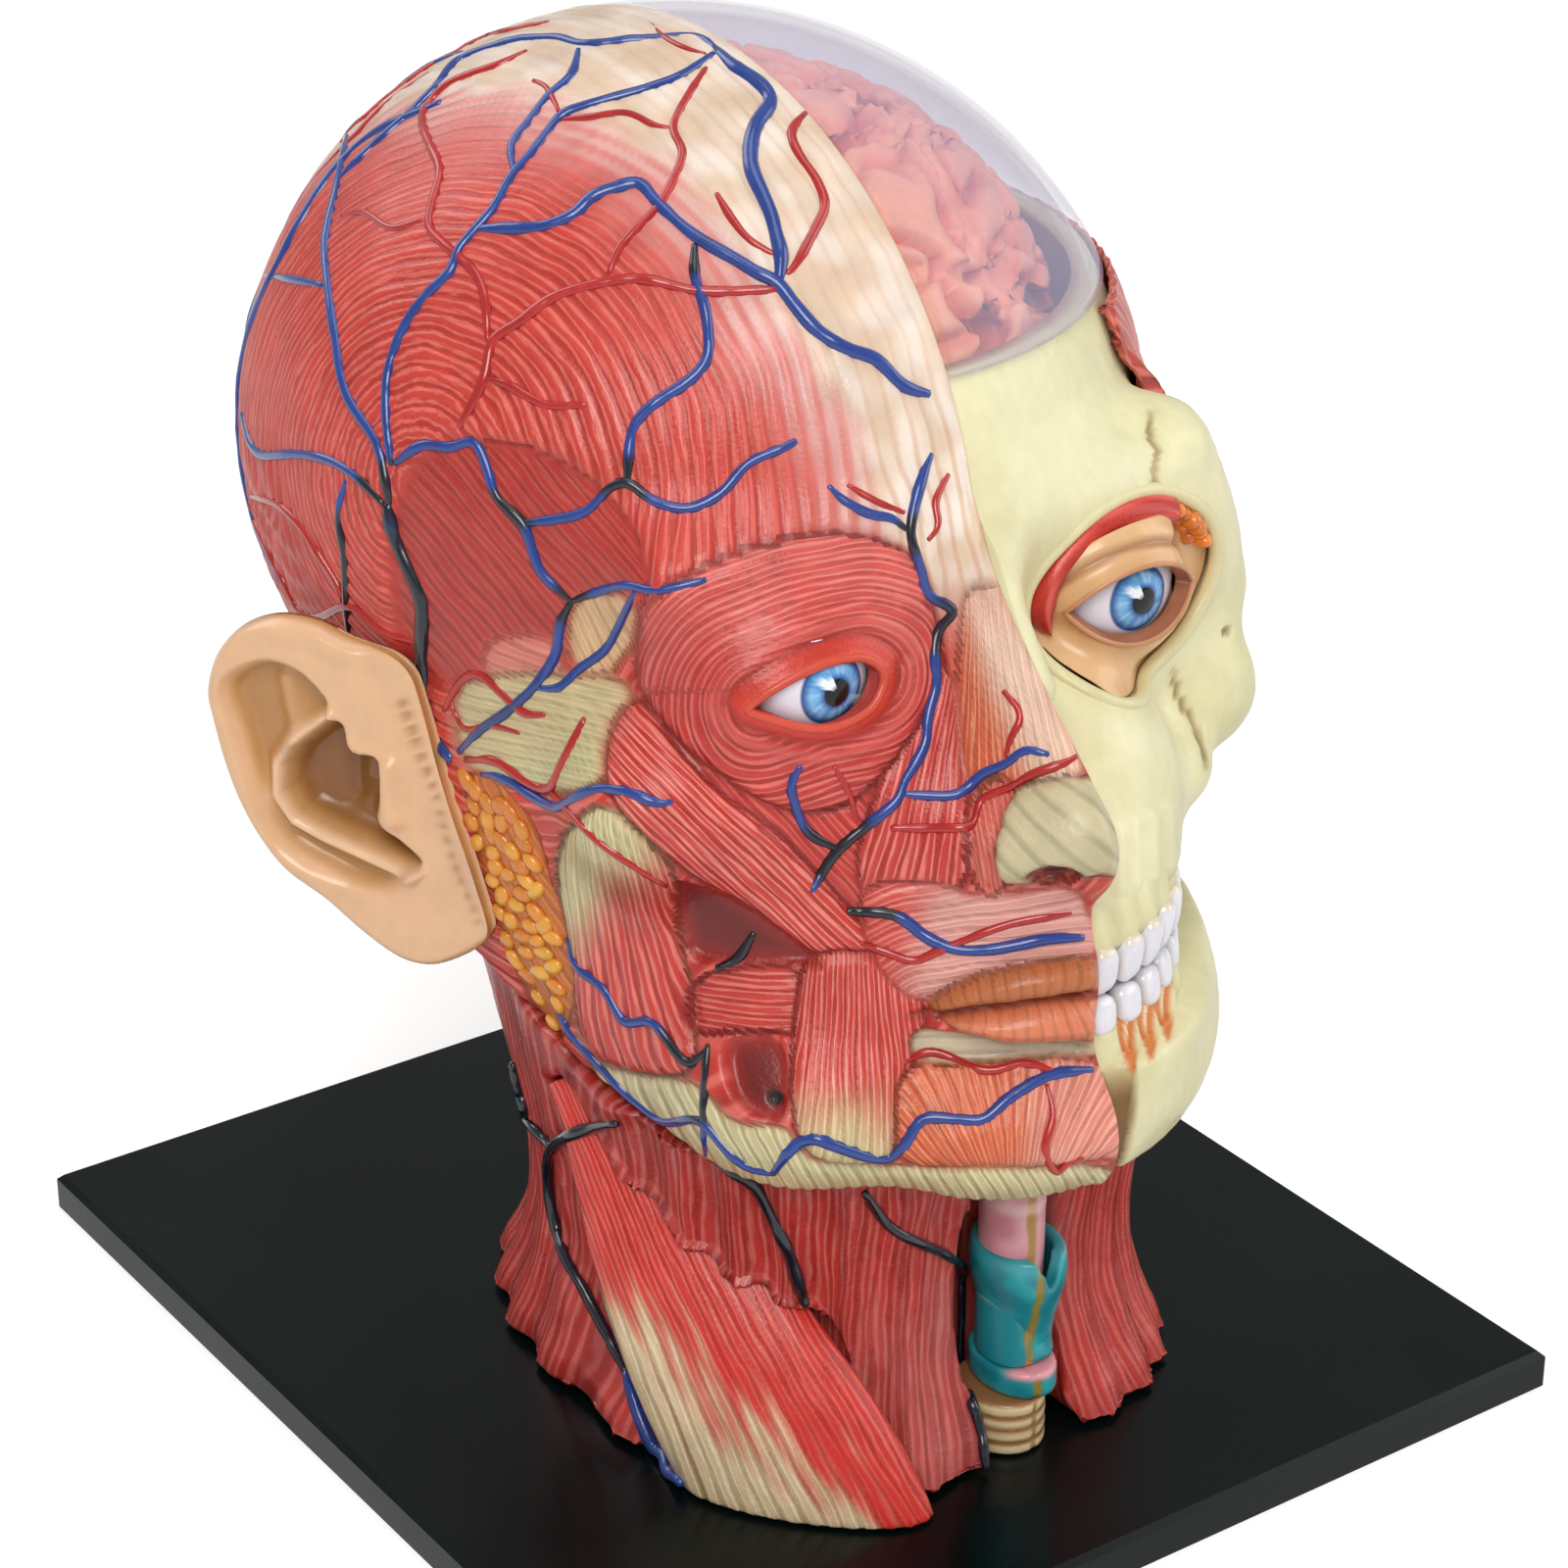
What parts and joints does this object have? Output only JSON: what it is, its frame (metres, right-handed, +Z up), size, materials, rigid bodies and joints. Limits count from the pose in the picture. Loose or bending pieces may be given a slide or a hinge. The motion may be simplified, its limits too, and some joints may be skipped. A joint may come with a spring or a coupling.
{
  "type": "anatomical head model",
  "caption": "Take-apart model of a head and neck on a flat plate: muscles on the right half, skull, brain under a clear cap, eye and jaw on the left.",
  "frame": {"origin": "middle of the plate's underside", "axes": "+Z up, the face looks along -Y, the muscle half is at -X"},
  "size_m": [0.12, 0.1341, 0.1488],
  "materials": {
    "plate_black": "gloss",
    "post_black": "gloss",
    "muscle_red": "satin",
    "bone_ivory": "satin",
    "tooth_white": "gloss",
    "brain_pink": "satin",
    "clear_cap": "gloss",
    "skin_tan": "satin",
    "gland_orange": "satin",
    "eye_white": "gloss",
    "cartilage_teal": "satin",
    "membrane_pink": "satin",
    "trachea_cream": "satin",
    "tongue_pink": "satin",
    "pin_ivory": "satin"
  },
  "bodies": {
    "stand": {"base_plate": "plate_black", "stand_post": "post_black"},
    "figure": {"neck_right": "muscle_red", "neck_left": "muscle_red", "sternomastoid_right": "muscle_red", "thyrohyoid_membrane": "membrane_pink", "thyroid_cartilage": "cartilage_teal", "cricoid_cartilage": "cartilage_teal", "trachea": "trachea_cream", "spine_column": "bone_ivory", "skull_base": "bone_ivory", "nasal_septum": "membrane_pink", "tongue": "tongue_pink", "skull_left": "bone_ivory", "zygoma_left": "bone_ivory", "temporalis_left": "muscle_red", "upper_teeth_left": "tooth_white", "brain_right": "brain_pink", "cerebellum": "brain_pink", "brain_stem": "brain_pink", "shell_pins": "pin_ivory"},
    "brain": {"brain_left": "brain_pink"},
    "cap": {"skull_cap": "clear_cap"},
    "muscle_shell": {"face_shell_right": "muscle_red"},
    "outer_ear": {"ear_right": "skin_tan"},
    "right_eye": {"eyeball_right": "eye_white"},
    "eye_insert": {"eyelids_left": "skin_tan", "eye_muscle_left": "muscle_red", "lacrimal_gland_left": "gland_orange"},
    "left_eye": {"eyeball_left": "eye_white"},
    "jaw": {"mandible_left": "bone_ivory", "lower_teeth_left": "tooth_white"}
  },
  "joints": [
    {"name": "stand_lift", "type": "slide", "parent": "stand", "child": "figure", "axis": [0, 0, 1], "range_m": [0, 0.035]},
    {"name": "brain_lift", "type": "slide", "parent": "figure", "child": "brain", "axis": [0, 0, 1], "range_m": [0, 0.07]},
    {"name": "cap_lift", "type": "slide", "parent": "brain", "child": "cap", "axis": [0, 0, 1], "range_m": [0, 0.06]},
    {"name": "shell_pull", "type": "slide", "parent": "figure", "child": "muscle_shell", "axis": [-1, 0, 0], "range_m": [0, 0.06]},
    {"name": "ear_pull", "type": "slide", "parent": "muscle_shell", "child": "outer_ear", "axis": [-1, 0, 0], "range_m": [0, 0.015]},
    {"name": "right_eye_turn", "type": "hinge", "parent": "muscle_shell", "child": "right_eye", "pos_m": [-0.0194, -0.0294, 0.0972], "axis": [0, 0, 1], "range_deg": [-20, 20]},
    {"name": "eye_insert_pull", "type": "slide", "parent": "figure", "child": "eye_insert", "axis": [0, -1, 0], "range_m": [0, 0.025]},
    {"name": "left_eye_turn", "type": "hinge", "parent": "eye_insert", "child": "left_eye", "pos_m": [0.0194, -0.0294, 0.0972], "axis": [0, 0, 1], "range_deg": [-20, 20]},
    {"name": "jaw_pull", "type": "slide", "parent": "figure", "child": "jaw", "axis": [1, 0, 0], "range_m": [0, 0.04]}
  ]
}
